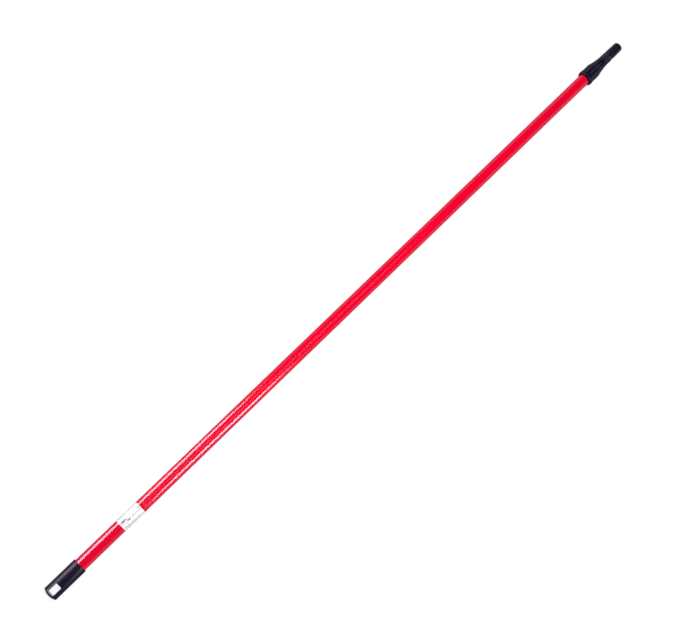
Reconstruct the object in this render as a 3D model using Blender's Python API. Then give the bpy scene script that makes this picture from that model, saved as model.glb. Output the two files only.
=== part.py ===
"""A telescopic extension pole for paint rollers, lying along X with its butt at -X and its tip at +X.

A steel inner tube slides in a steel outer tube and is gripped by a twist lock: the ribbed nut runs on a
threaded sleeve and pushes a split ring into the sleeve's taper. Everything is placed by its distance
along the pole from the butt end, in metres, under the empty pole_axis.
"""

import math

import bmesh
import bpy
from mathutils import Matrix, Vector

# Driving dimensions of the whole pole
CLOSED_LENGTH = 1.600
EXTENSION = 1.400
OUTER_TUBE_RADIUS = 0.0125
OUTER_TUBE_WALL = 0.0006
INNER_TUBE_RADIUS = 0.0110
INNER_TUBE_WALL = 0.0006

# Clearances
SEAT_GAP = 0.0003  # between pieces that touch on the bench
SLIDE_GAP = 0.0002  # between pieces that slide in each other
GRIP_GAP = 0.00015  # between the split ring and the tube that it grips
END_GAP = 0.0010  # left between the stop and the upper glide ring at full extension

# End cap with its hanging slot
CAP_WALL = 0.0018
CAP_LENGTH = 0.072
CAP_DOME = 0.0030
CAP_FLAT_RADIUS = 0.0060
CAP_CORNER = 0.0008
SLOT_LENGTH = 0.0200
SLOT_WIDTH = 0.0120
SLOT_CORNER = 0.0015
SLOT_FROM_BUTT = 0.0042
CAP_FLOOR = 0.0061  # plastic between the slot and the tube's socket

# Label wrapped round the outer tube
LABEL_FROM_BUTT = 0.1665
LABEL_LENGTH = 0.047
LABEL_THICKNESS = 0.00025
LABEL_GAP = 0.0001
LABEL_SLIT_ANGLE = math.radians(6)

# Twist nut
NUT_LENGTH = 0.0525
TIP_BEYOND_NUT = 0.064
LIP_STEP = 0.0008  # from the ribs' crests out to the lip
LIP_LENGTH = 0.0078
LIP_CORNER = 0.0012
MOUTH_EASE = 0.0022  # how far along the lip its mouth side is rounded
MOUTH_DROP = 0.0014  # and how far inwards
NUT_WALL = 0.0006  # between the counterbore and the ribs' roots
NUT_CONE_START = 0.0305
NUT_CONE_CURVE = 1.4
CONE_STEPS = 6
NOSE_WALL = 0.0008
NUT_RIBS = 12
RIB_HEIGHT = 0.0007
RIB_BASE_WIDTH = 0.0034
RIB_TOP_WIDTH = 0.0016
NUT_COUNTERBORE_LENGTH = 0.0135
NUT_SHOULDER = 0.0378  # from the mouth to the face that pushes the washer

# Lock thread, right-handed
LOCK_PITCH = 0.003
LOCK_ROOT_WALL = 0.0007  # between the outer tube's seat and the thread's root
LOCK_THREAD_DEPTH = 0.0008
LOCK_ROOT_WIDTH = 0.0019
LOCK_CREST_WIDTH = 0.0009
LOCK_TURNS = 4

# Threaded sleeve
SLEEVE_SHOWS = 0.003  # how far the sleeve stands out of the nut's mouth
SLEEVE_SKIRT_WALL = 0.0012
SLEEVE_SKIRT_LENGTH = 0.0155
SLEEVE_LENGTH = 0.0335
SLEEVE_TUBE_GRIP = 0.0215  # how far the outer tube goes into the sleeve
SEAT_LENGTH = 0.005
SEAT_WALL = 0.0007

# Split clamping ring and thrust washer
CLAMP_RING_LENGTH = 0.008
CLAMP_RING_TAPER = 0.003
CLAMP_RING_CHAMFER = 0.0008
CLAMP_SLIT_WIDTH = 0.0018
WASHER_THICKNESS = 0.0016

# Rubber wiper in the nut's nose
WIPER_LENGTH = 0.0025
WIPER_DEPTH = 0.0005  # how far the wiper's groove goes into the nose
WIPER_FROM_NOSE = 0.006

# Mouth bush in the end of the outer tube
BUSH_LENGTH = 0.022
BUSH_FLANGE = 0.0012

# Foot of the inner tube
BUMPER_LENGTH = 0.004
BUMPER_RADIUS = 0.0090
BUMPER_STUD_RADIUS = 0.0030
BUMPER_STUD_LENGTH = 0.007
FOOT_BUMP_GAP = 0.0005  # between the bumper and the cap's floor when the pole is closed
FOOT_FLANGE = 0.003
FOOT_FLANGE_GAP = 0.0006
GLIDE_RING_LENGTH = 0.0075
GLIDE_RING_WALL = 0.0011
GLIDE_SLIT_WIDTH = 0.0016
GLIDE_SHOULDER = 0.0004  # how far the foot's shoulders stand above the rings' bore
FOOT_LAND = 0.004
FOOT_SHANK_LENGTH = 0.025

# Tip adaptor
SHANK_LENGTH = 0.035
TUBE_END_BELOW_NOSE = 0.003
TIP_BASE_STEP = 0.00012  # from the inner tube out to the tip's base, which the nut passes over
TIP_FLANGE_STEP = 0.0005
TIP_FLANGE_LENGTH = 0.003
NUT_TRAVEL_ROOM = 0.0008  # left under the flange when the nut is one turn loose
TIP_PITCH = 0.005
TIP_THREAD_LENGTH = 0.022
TIP_THREAD_ROOT_RADIUS = 0.0099
TIP_THREAD_CREST_RADIUS = 0.01115
TIP_THREAD_ROOT_WIDTH = 0.0034
TIP_THREAD_CREST_WIDTH = 0.0016
TIP_THREAD_TURNS = 3.5
PILOT_RADIUS = 0.0106
PILOT_END_RADIUS = 0.0101
PILOT_GROOVE = 0.004
PILOT_RIBS = 10
PILOT_RIB_HEIGHT = 0.0004
PILOT_RIB_WIDTH = 0.0016
PILOT_CHAMFER = 0.0010
TIP_WALL = 0.0024
TIP_END_WALL = 0.0030

# Pins and rivets
PIN_RADIUS = 0.0015
RIVET_HEAD_RADIUS = 0.0024
RIVET_HEAD_DEPTH = 0.0006

SEGMENTS = 40
THREAD_SEGMENTS = 24
THREAD_START_ANGLE = math.radians(2)  # off the edges of the turned cores
OVERLAP = 0.0004  # how far shapes that are joined run into each other

# Places that follow from the sizes above, from the butt end
CAP_SOCKET = SLOT_FROM_BUTT + SLOT_LENGTH + CAP_FLOOR
TUBE_START = CAP_SOCKET + SEAT_GAP
NUT_NOSE = CLOSED_LENGTH - TIP_BEYOND_NUT
NUT_MOUTH = NUT_NOSE - NUT_LENGTH
SLEEVE_START = NUT_MOUTH - SLEEVE_SHOWS
SLEEVE_END = SLEEVE_START + SLEEVE_LENGTH
TUBE_END = SLEEVE_START + SLEEVE_TUBE_GRIP
BUSH_TOP = TUBE_END + SEAT_GAP + BUSH_FLANGE
SLEEVE_STEP = BUSH_TOP + SEAT_GAP
BUSH_START = BUSH_TOP - BUSH_LENGTH
SEAT_START = SLEEVE_END - SEAT_LENGTH
SHOULDER = NUT_MOUTH + NUT_SHOULDER
WASHER_START = SHOULDER - SEAT_GAP - WASHER_THICKNESS
CLAMP_RING_END = WASHER_START - SEAT_GAP
CLAMP_RING_START = CLAMP_RING_END - CLAMP_RING_LENGTH
WIPER_END = NUT_NOSE - WIPER_FROM_NOSE
WIPER_START = WIPER_END - WIPER_LENGTH

# Radii that follow, from the tubes outwards and inwards
OUTER_BORE = OUTER_TUBE_RADIUS - OUTER_TUBE_WALL
INNER_BORE = INNER_TUBE_RADIUS - INNER_TUBE_WALL
SOCKET_BORE = OUTER_TUBE_RADIUS + SLIDE_GAP
CAP_RADIUS = SOCKET_BORE + CAP_WALL
SLEEVE_SKIRT_RADIUS = SOCKET_BORE + SLEEVE_SKIRT_WALL
LOCK_ROOT_RADIUS = SOCKET_BORE + LOCK_ROOT_WALL
RUNNING_BORE = INNER_TUBE_RADIUS + SEAT_GAP
CLAMP_BORE = INNER_TUBE_RADIUS + GRIP_GAP
NOSE_BORE = RUNNING_BORE + GRIP_GAP / 2
WIPER_GROOVE_RADIUS = NOSE_BORE + WIPER_DEPTH
SEAT_MOUTH_RADIUS = LOCK_ROOT_RADIUS - SEAT_WALL
LOCK_MINOR_RADIUS = LOCK_ROOT_RADIUS + SEAT_GAP
LOCK_CREST_RADIUS = LOCK_ROOT_RADIUS + LOCK_THREAD_DEPTH
NUT_COUNTERBORE = LOCK_CREST_RADIUS + 2 * SEAT_GAP
NUT_RADIUS = NUT_COUNTERBORE + NUT_WALL + RIB_HEIGHT
LIP_RADIUS = NUT_RADIUS + LIP_STEP
NOSE_RADIUS = NOSE_BORE + NOSE_WALL
TIP_BASE_RADIUS = INNER_TUBE_RADIUS + TIP_BASE_STEP
TIP_FLANGE_RADIUS = INNER_TUBE_RADIUS + TIP_FLANGE_STEP
SHANK_RADIUS = INNER_BORE - SEAT_GAP

GLIDE_RADIUS = OUTER_BORE - SLIDE_GAP
GLIDE_BORE = GLIDE_RADIUS - GLIDE_RING_WALL
GLIDE_GROOVE = GLIDE_BORE - SEAT_GAP
FOOT_RADIUS = GLIDE_BORE + GLIDE_SHOULDER
FOOT_FLANGE_RADIUS = OUTER_BORE - FOOT_FLANGE_GAP

BUMPER_START = CAP_SOCKET + FOOT_BUMP_GAP
FOOT_START = BUMPER_START + BUMPER_LENGTH + SEAT_GAP
LOWER_RING_START = FOOT_START + FOOT_FLANGE + SEAT_GAP
UPPER_RING_END = BUSH_START - END_GAP - EXTENSION
UPPER_RING_START = UPPER_RING_END - GLIDE_RING_LENGTH
FOOT_SHOULDER = UPPER_RING_END + SEAT_GAP + FOOT_LAND
INNER_START = FOOT_SHOULDER + SEAT_GAP
INNER_END = NUT_NOSE - TUBE_END_BELOW_NOSE
TIP_FLANGE_START = NUT_NOSE + LOCK_PITCH + NUT_TRAVEL_ROOM
TIP_THREAD_START = TIP_FLANGE_START + TIP_FLANGE_LENGTH
PILOT_GROOVE_START = TIP_THREAD_START + TIP_THREAD_LENGTH
PILOT_START = PILOT_GROOVE_START + PILOT_GROOVE

SIDES = {"front": -1, "back": 1}  # the side of the pole, along Y, where a rivet sits


def material(name, colour, roughness, metallic=0.0):
    made = bpy.data.materials.new(name)
    made.use_nodes = True
    shader = made.node_tree.nodes["Principled BSDF"]
    shader.inputs["Base Color"].default_value = (*colour, 1.0)
    shader.inputs["Roughness"].default_value = roughness
    shader.inputs["Metallic"].default_value = metallic
    return made


def finish(obj, finish_material, parent):
    """Gives an object its material and its place under an empty on the pole's axis."""
    obj.data.materials.append(finish_material)
    obj.data.shade_smooth()
    obj.data.set_sharp_from_angle(angle=math.radians(35))
    obj.parent = parent
    obj.location = -parent["from_butt"] * Vector((1, 0, 0))
    return obj


def object_from(name, mesh_builder):
    """Turns a bmesh into a linked object with its normals facing out."""
    bmesh.ops.remove_doubles(mesh_builder, verts=mesh_builder.verts, dist=1e-7)
    bmesh.ops.recalc_face_normals(mesh_builder, faces=mesh_builder.faces)
    mesh = bpy.data.meshes.new(name)
    mesh_builder.to_mesh(mesh)
    mesh_builder.free()
    obj = bpy.data.objects.new(name, mesh)
    bpy.context.scene.collection.objects.link(obj)
    return obj


def turned(name, outline):
    """A solid turned about X, with a flat facet at its top and its bottom.

    The outline is a closed run of (distance along X, radius) points.
    """
    shape = bmesh.new()
    points = [shape.verts.new((x, 0, r)) for x, r in outline]
    half_step = Matrix.Rotation(math.pi / SEGMENTS, 3, "X")
    bmesh.ops.rotate(shape, verts=points, cent=(0, 0, 0), matrix=half_step)
    edges = [
        shape.edges.new((points[i - 1], points[i]))
        for i in range(len(points))
        if outline[i - 1][1] > 0 or outline[i][1] > 0
    ]
    bmesh.ops.spin(
        shape, geom=points + edges, cent=(0, 0, 0), axis=(1, 0, 0),
        angle=2 * math.pi, steps=SEGMENTS, use_merge=True,
    )
    return object_from(name, shape)


def swept(name, outline, angle, start_angle=0.0, steps=SEGMENTS, advance=0.0):
    """A solid swept about X through an angle that leaves a slit, or along a helix that advances each turn."""
    shape = bmesh.new()
    face = shape.faces.new([shape.verts.new((x, 0, r)) for x, r in outline])
    bmesh.ops.rotate(
        shape, verts=shape.verts, cent=(0, 0, 0), matrix=Matrix.Rotation(start_angle, 3, "X")
    )
    step_advance = advance * angle / (2 * math.pi) / steps
    bmesh.ops.spin(
        shape, geom=[face, *face.edges, *face.verts], cent=(0, 0, 0), axis=(1, 0, 0),
        dvec=(step_advance, 0, 0), angle=angle, steps=steps,
    )
    return object_from(name, shape)


def split_ring(name, outline, bore, slit_width):
    """A turned ring with a slit at its top."""
    slit_angle = slit_width / bore
    return swept(name, outline, 2 * math.pi - slit_angle, start_angle=slit_angle / 2)


def tube(name, start, end, outer_radius, inner_radius):
    return turned(
        name, [(start, inner_radius), (start, outer_radius), (end, outer_radius), (end, inner_radius)]
    )


def thread_ridge(name, start, pitch, turns, radii, widths):
    """The ridge of a right-handed thread. radii and widths run from the ridge's root to its crest."""
    outline = [
        (start - widths[0] / 2, radii[0]),
        (start - widths[1] / 2, radii[1]),
        (start + widths[1] / 2, radii[1]),
        (start + widths[0] / 2, radii[0]),
    ]
    return swept(
        name, outline, 2 * math.pi * turns, start_angle=THREAD_START_ANGLE,
        steps=round(THREAD_SEGMENTS * turns), advance=pitch,
    )


def radial_pin(name, x, inner, outer, radius, side):
    """A round bar along Y, from one distance off the pole's axis to another."""
    shape = bmesh.new()
    length = outer - inner
    middle = Matrix.Translation((x, side * (inner + outer) / 2, 0))
    bmesh.ops.create_cone(
        shape, cap_ends=True, segments=16, radius1=radius, radius2=radius, depth=length,
        matrix=middle @ Matrix.Rotation(math.pi / 2, 4, "X"),
    )
    return object_from(name, shape)


def helper(obj, body):
    """Marks an object as a tool that shapes a body, and not a piece."""
    obj.hide_render = True
    obj.display_type = "WIRE"
    obj.parent = body.parent
    obj.location = body.location
    return obj


def boolean(body, tool, operation):
    modifier = body.modifiers.new(tool.name, "BOOLEAN")
    modifier.operation = operation
    modifier.solver = "EXACT"
    modifier.object = helper(tool, body)


def cut(body, tool):
    boolean(body, tool, "DIFFERENCE")


def join(body, tool):
    boolean(body, tool, "UNION")


def pilot_ribs(name, start, end):
    """Ribs along the pilot, all in one mesh. Each is a bar with sloping flanks that tapers with the pilot."""
    ribs = bmesh.new()
    for i in range(PILOT_RIBS):
        turn = Matrix.Rotation(2 * math.pi * (i + 0.3) / PILOT_RIBS, 4, "X")
        bar = bmesh.ops.create_cube(ribs, size=1)["verts"]
        for vertex in bar:
            x = start if vertex.co.x < 0 else end
            top = vertex.co.z > 0
            radius = pilot_radius(x) + (PILOT_RIB_HEIGHT if top else -OVERLAP)
            half = PILOT_RIB_WIDTH / (4 if top else 2)
            vertex.co = turn @ Vector((x, math.copysign(half, vertex.co.y), radius))
    return object_from(name, ribs)


def make_end_cap(plastic, parent):
    """A thick plastic cap over the tube's butt, with a domed end and a hanging slot right through it."""
    dome_radius = (
        (CAP_RADIUS - CAP_CORNER) ** 2 - CAP_FLAT_RADIUS**2 + CAP_DOME**2
    ) / (2 * CAP_DOME)
    dome_steps = 5
    dome = []
    for i in range(dome_steps + 1):
        radius = CAP_FLAT_RADIUS + (CAP_RADIUS - CAP_CORNER - CAP_FLAT_RADIUS) * i / dome_steps
        rise = math.sqrt(dome_radius**2 - CAP_FLAT_RADIUS**2) - math.sqrt(
            max(dome_radius**2 - radius**2, 0)
        )
        dome.append((rise, radius))
    dome_end = dome[-1][0]
    cap = turned(
        "end_cap",
        [(0, 0)] + dome
        + [
            (dome_end + CAP_CORNER, CAP_RADIUS),
            (CAP_LENGTH - CAP_CORNER, CAP_RADIUS),
            (CAP_LENGTH, CAP_RADIUS - CAP_CORNER),
            (CAP_LENGTH, SOCKET_BORE + CAP_CORNER / 2),
            (CAP_LENGTH - CAP_CORNER / 2, SOCKET_BORE),
            (CAP_SOCKET, SOCKET_BORE),
            (CAP_SOCKET, 0),
        ],
    )
    finish(cap, plastic, parent)
    slot = bmesh.new()
    bmesh.ops.create_cube(
        slot, size=1,
        matrix=Matrix.Translation((SLOT_FROM_BUTT + SLOT_LENGTH / 2, 0, 0))
        @ Matrix.Diagonal((SLOT_LENGTH, SLOT_WIDTH, 3 * CAP_RADIUS, 1)),
    )
    upright = [e for e in slot.edges if abs((e.verts[0].co - e.verts[1].co).z) > CAP_RADIUS]
    bmesh.ops.bevel(
        slot, geom=upright, offset=SLOT_CORNER, segments=3, profile=0.5, affect="EDGES", material=-1
    )
    cut(cap, object_from("slot_cutter", slot))


def make_outer_tube(paint, parent):
    outer = tube("outer_tube", TUBE_START, TUBE_END, OUTER_TUBE_RADIUS, OUTER_BORE)
    finish(outer, paint, parent)
    for name, side in SIDES.items():
        cut(
            outer,
            radial_pin(
                "tube_hole_" + name, rivet_place(), OUTER_BORE - OVERLAP,
                OUTER_TUBE_RADIUS + OVERLAP, PIN_RADIUS + SEAT_GAP, side,
            ),
        )


def make_label(film, parent):
    """A film label wrapped round the tube, with its ends meeting underneath."""
    inner = OUTER_TUBE_RADIUS + LABEL_GAP
    outer = inner + LABEL_THICKNESS
    start, end = LABEL_FROM_BUTT, LABEL_FROM_BUTT + LABEL_LENGTH
    label = swept(
        "label",
        [(start, inner), (start, outer), (end, outer), (end, inner)],
        2 * math.pi - LABEL_SLIT_ANGLE,
        start_angle=math.pi + LABEL_SLIT_ANGLE / 2,
    )
    finish(label, film, parent)


def rivet_place():
    """Where the rivets hold the sleeve to the outer tube, halfway along the sleeve's skirt."""
    return SLEEVE_START + SLEEVE_SKIRT_LENGTH / 2


def make_threaded_sleeve(plastic, parent):
    sleeve = turned(
        "threaded_sleeve",
        [
            (SLEEVE_START, SOCKET_BORE),
            (SLEEVE_START, SLEEVE_SKIRT_RADIUS),
            (SLEEVE_START + SLEEVE_SKIRT_LENGTH, SLEEVE_SKIRT_RADIUS),
            (SLEEVE_START + SLEEVE_SKIRT_LENGTH, LOCK_ROOT_RADIUS),
            (SLEEVE_END, LOCK_ROOT_RADIUS),
            (SLEEVE_END, SEAT_MOUTH_RADIUS),
            (SEAT_START, RUNNING_BORE),
            (SLEEVE_STEP, RUNNING_BORE),
            (SLEEVE_STEP, SOCKET_BORE),
        ],
    )
    finish(sleeve, plastic, parent)
    join(
        sleeve,
        thread_ridge(
            "sleeve_thread", lock_thread_start(), LOCK_PITCH, LOCK_TURNS,
            (LOCK_ROOT_RADIUS - OVERLAP, LOCK_CREST_RADIUS), (LOCK_ROOT_WIDTH, LOCK_CREST_WIDTH),
        ),
    )
    for name, side in SIDES.items():
        cut(
            sleeve,
            radial_pin(
                "sleeve_hole_" + name, rivet_place(), SOCKET_BORE - OVERLAP,
                SLEEVE_SKIRT_RADIUS + OVERLAP, PIN_RADIUS + SEAT_GAP, side,
            ),
        )
        cut(
            sleeve,
            radial_pin(
                "sleeve_counterbore_" + name, rivet_place(),
                SLEEVE_SKIRT_RADIUS - RIVET_HEAD_DEPTH - SEAT_GAP,
                SLEEVE_SKIRT_RADIUS + OVERLAP, RIVET_HEAD_RADIUS + SEAT_GAP, side,
            ),
        )


def lock_thread_start():
    """The middle of the lock thread's ridge where it begins, above the sleeve's skirt."""
    return SLEEVE_START + SLEEVE_SKIRT_LENGTH + LOCK_ROOT_WIDTH


def make_sleeve_rivets(steel, parent):
    for name, side in SIDES.items():
        head_top = SLEEVE_SKIRT_RADIUS - GRIP_GAP / 2
        rivet = radial_pin(
            "sleeve_rivet_" + name, rivet_place(), OUTER_BORE + GRIP_GAP / 2,
            head_top - RIVET_HEAD_DEPTH + OVERLAP, PIN_RADIUS, side,
        )
        finish(rivet, steel, parent)
        join(
            rivet,
            radial_pin(
                "rivet_head_" + name, rivet_place(), head_top - RIVET_HEAD_DEPTH, head_top,
                RIVET_HEAD_RADIUS, side,
            ),
        )


def make_mouth_bush(nylon, parent):
    """A thin liner that guides the inner tube, with a flange on the end of the outer tube."""
    inner, outer = INNER_TUBE_RADIUS + SLIDE_GAP, OUTER_BORE - SLIDE_GAP
    flange_start = TUBE_END + SEAT_GAP
    bush = turned(
        "mouth_bush",
        [
            (BUSH_START, inner),
            (BUSH_START, outer),
            (flange_start, outer),
            (flange_start, OUTER_TUBE_RADIUS),
            (BUSH_TOP, OUTER_TUBE_RADIUS),
            (BUSH_TOP, inner),
        ],
    )
    finish(bush, nylon, parent)


def seat_radius(x):
    """The radius of the sleeve's tapered seat at a distance along the pole."""
    share = (x - SEAT_START) / SEAT_LENGTH
    return RUNNING_BORE + share * (SEAT_MOUTH_RADIUS - RUNNING_BORE)


def make_clamp_ring(nylon, parent):
    """The split ring that the nut drives into the sleeve's taper, so that it closes on the inner tube."""
    taper_end = CLAMP_RING_START + CLAMP_RING_TAPER
    full_radius = seat_radius(taper_end) - SEAT_GAP
    ring = split_ring(
        "clamp_ring",
        [
            (CLAMP_RING_START, CLAMP_BORE),
            (CLAMP_RING_START, seat_radius(CLAMP_RING_START) - SEAT_GAP),
            (taper_end, full_radius),
            (CLAMP_RING_END - CLAMP_RING_CHAMFER, full_radius),
            (CLAMP_RING_END, full_radius - CLAMP_RING_CHAMFER / 2),
            (CLAMP_RING_END, CLAMP_BORE),
        ],
        CLAMP_BORE,
        CLAMP_SLIT_WIDTH,
    )
    finish(ring, nylon, parent)


def make_thrust_washer(nylon, parent):
    washer = tube(
        "thrust_washer", WASHER_START, WASHER_START + WASHER_THICKNESS,
        SEAT_MOUTH_RADIUS - SEAT_GAP, RUNNING_BORE,
    )
    finish(washer, nylon, parent)


def nut_crest(x):
    """The radius of the nut's rib crests: a cylinder, then a cone that eases into the nose."""
    share = max(0.0, (x - NUT_MOUTH - NUT_CONE_START) / (NUT_LENGTH - NUT_CONE_START))
    return NOSE_RADIUS + (NUT_RADIUS - NOSE_RADIUS) * (1 - min(share, 1.0)) ** NUT_CONE_CURVE


def nut_root(x):
    """The radius between the nut's ribs, which fade out towards the nose."""
    share = max(0.0, (x - NUT_MOUTH - NUT_CONE_START) / (NUT_LENGTH - NUT_CONE_START))
    return nut_crest(x) - RIB_HEIGHT * (1 - min(share, 1.0))


def ribbed_loft(name, rings):
    """A solid with ribs along X. Each ring is (distance along X, radius between ribs, radius on their crests)."""
    shape = bmesh.new()
    loops = []
    pitch = 2 * math.pi / NUT_RIBS
    base = RIB_BASE_WIDTH / (2 * NUT_RADIUS)
    top = RIB_TOP_WIDTH / (2 * NUT_RADIUS)
    for x, root, crest in rings:
        loop = []
        for i in range(NUT_RIBS):
            for turn, radius in (
                (-base, root), (-top, crest), (top, crest), (base, root), (pitch / 2, root)
            ):
                angle = i * pitch + turn
                loop.append(shape.verts.new((x, radius * math.sin(angle), radius * math.cos(angle))))
        loops.append(loop)
    for lower, upper in zip(loops, loops[1:]):
        for i in range(len(lower)):
            shape.faces.new((lower[i - 1], lower[i], upper[i], upper[i - 1]))
    shape.faces.new(loops[0])
    shape.faces.new(loops[-1])
    return object_from(name, shape)


def make_twist_nut(plastic, parent):
    """The ribbed lock nut: a lipped mouth over the sleeve, an inner thread and a nose round the inner tube."""
    body_start = NUT_MOUTH + LIP_LENGTH
    lip_edge = LIP_RADIUS - LIP_CORNER
    midway = 1 - math.cos(math.pi / 4)
    mouth_edge = LIP_RADIUS - MOUTH_DROP
    mouth_bulge = LIP_RADIUS - MOUTH_DROP * midway
    rings = [
        (NUT_MOUTH, mouth_edge, mouth_edge),
        (NUT_MOUTH + MOUTH_EASE * midway, mouth_bulge, mouth_bulge),
        (NUT_MOUTH + MOUTH_EASE, LIP_RADIUS, LIP_RADIUS),
        (body_start - LIP_CORNER, LIP_RADIUS, LIP_RADIUS),
        (body_start, lip_edge, lip_edge),
        (body_start + RIB_HEIGHT, nut_root(body_start), nut_crest(body_start)),
    ]
    for i in range(CONE_STEPS + 1):
        x = NUT_MOUTH + NUT_CONE_START + (NUT_LENGTH - NUT_CONE_START) * i / CONE_STEPS
        rings.append((x, nut_root(x), nut_crest(x)))
    nut = ribbed_loft("twist_nut", rings)
    finish(nut, plastic, parent)
    thread_start = NUT_MOUTH + NUT_COUNTERBORE_LENGTH
    cut(
        nut,
        turned(
            "nut_bore",
            [
                (NUT_MOUTH - OVERLAP, 0),
                (NUT_MOUTH - OVERLAP, NUT_COUNTERBORE),
                (thread_start - SEAT_GAP, NUT_COUNTERBORE),
                (thread_start, LOCK_MINOR_RADIUS),
                (SLEEVE_END + LOCK_PITCH / 3, LOCK_MINOR_RADIUS),
                (SHOULDER, SEAT_MOUTH_RADIUS),
                (SHOULDER, NOSE_BORE),
                (WIPER_START - SEAT_GAP, NOSE_BORE),
                (WIPER_START - SEAT_GAP, WIPER_GROOVE_RADIUS),
                (WIPER_END + SEAT_GAP, WIPER_GROOVE_RADIUS),
                (WIPER_END + SEAT_GAP, NOSE_BORE),
                (NUT_NOSE + OVERLAP, NOSE_BORE),
                (NUT_NOSE + OVERLAP, 0),
            ],
        ),
    )
    groove_gap = 2 * SEAT_GAP
    runout = LOCK_PITCH * math.ceil(LOCK_ROOT_WIDTH / LOCK_PITCH)
    cut(
        nut,
        thread_ridge(
            "nut_tap", lock_thread_start() - runout, LOCK_PITCH, LOCK_TURNS + 1.5,
            (LOCK_ROOT_RADIUS - OVERLAP, LOCK_CREST_RADIUS + SEAT_GAP),
            (LOCK_ROOT_WIDTH + groove_gap, LOCK_CREST_WIDTH + groove_gap),
        ),
    )


def make_nose_wiper(rubber, parent):
    """A soft ring in the nut's nose that keeps paint and grit out of the lock."""
    wiper = tube(
        "nose_wiper", WIPER_START, WIPER_END, WIPER_GROOVE_RADIUS - GRIP_GAP, CLAMP_BORE + GRIP_GAP / 2
    )
    finish(wiper, rubber, parent)


def make_inner_tube(zinc, parent):
    inner = tube("inner_tube", INNER_START, INNER_END, INNER_TUBE_RADIUS, INNER_BORE)
    finish(inner, zinc, parent)
    for name, x in (("foot", foot_pin_place()), ("tip", tip_pin_place())):
        reach = INNER_TUBE_RADIUS + OVERLAP
        cut(inner, radial_pin(name + "_tube_hole", x, -reach, reach, PIN_RADIUS + SEAT_GAP, 1))


def foot_pin_place():
    return INNER_START + FOOT_SHANK_LENGTH / 2


def tip_pin_place():
    return INNER_END - SHANK_LENGTH / 2


def make_cross_pin(name, x, steel, parent):
    """A pin right through the inner tube and the plug in its end, just short of the tube's surface."""
    reach = INNER_TUBE_RADIUS - GRIP_GAP
    finish(radial_pin(name, x, -reach, reach, PIN_RADIUS, 1), steel, parent)


def make_foot_plug(nylon, parent):
    """The spool in the inner tube's lower end, which carries the two glide rings."""
    lower_groove_end = LOWER_RING_START + GLIDE_RING_LENGTH + SEAT_GAP
    upper_groove_start = UPPER_RING_START - SEAT_GAP
    upper_groove_end = UPPER_RING_END + SEAT_GAP
    shank_end = INNER_START + FOOT_SHANK_LENGTH
    stud_hole_radius = BUMPER_STUD_RADIUS + SEAT_GAP
    stud_hole_end = BUMPER_START + BUMPER_LENGTH + BUMPER_STUD_LENGTH + SEAT_GAP
    plug = turned(
        "foot_plug",
        [
            (stud_hole_end, 0),
            (stud_hole_end, stud_hole_radius),
            (FOOT_START, stud_hole_radius),
            (FOOT_START, FOOT_FLANGE_RADIUS),
            (LOWER_RING_START - SEAT_GAP, FOOT_FLANGE_RADIUS),
            (LOWER_RING_START - SEAT_GAP, GLIDE_GROOVE),
            (lower_groove_end, GLIDE_GROOVE),
            (lower_groove_end, FOOT_RADIUS),
            (upper_groove_start, FOOT_RADIUS),
            (upper_groove_start, GLIDE_GROOVE),
            (upper_groove_end, GLIDE_GROOVE),
            (upper_groove_end, FOOT_RADIUS),
            (FOOT_SHOULDER, FOOT_RADIUS),
            (FOOT_SHOULDER, SHANK_RADIUS),
            (shank_end, SHANK_RADIUS),
            (shank_end, 0),
        ],
    )
    finish(plug, nylon, parent)
    cut(
        plug,
        radial_pin(
            "foot_plug_hole", foot_pin_place(), -INNER_TUBE_RADIUS, INNER_TUBE_RADIUS,
            PIN_RADIUS + SEAT_GAP, 1,
        ),
    )


def make_foot_bumper(rubber, parent):
    """A rubber button pushed into the foot, which meets the cap's floor as the pole closes."""
    bumper = turned(
        "foot_bumper",
        [
            (BUMPER_START, 0),
            (BUMPER_START, BUMPER_RADIUS),
            (BUMPER_START + BUMPER_LENGTH, BUMPER_RADIUS),
            (BUMPER_START + BUMPER_LENGTH, BUMPER_STUD_RADIUS),
            (BUMPER_START + BUMPER_LENGTH + BUMPER_STUD_LENGTH, BUMPER_STUD_RADIUS),
            (BUMPER_START + BUMPER_LENGTH + BUMPER_STUD_LENGTH, 0),
        ],
    )
    finish(bumper, rubber, parent)


def make_glide_ring(name, start, nylon, parent):
    end = start + GLIDE_RING_LENGTH
    ring = split_ring(
        name,
        [(start, GLIDE_BORE), (start, GLIDE_RADIUS), (end, GLIDE_RADIUS), (end, GLIDE_BORE)],
        GLIDE_BORE,
        GLIDE_SLIT_WIDTH,
    )
    finish(ring, nylon, parent)


def pilot_radius(x):
    """The radius of the tip's plain lead-in, which tapers a little towards the end."""
    share = (x - PILOT_START) / (CLOSED_LENGTH - PILOT_START)
    return PILOT_RADIUS + share * (PILOT_END_RADIUS - PILOT_RADIUS)


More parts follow.
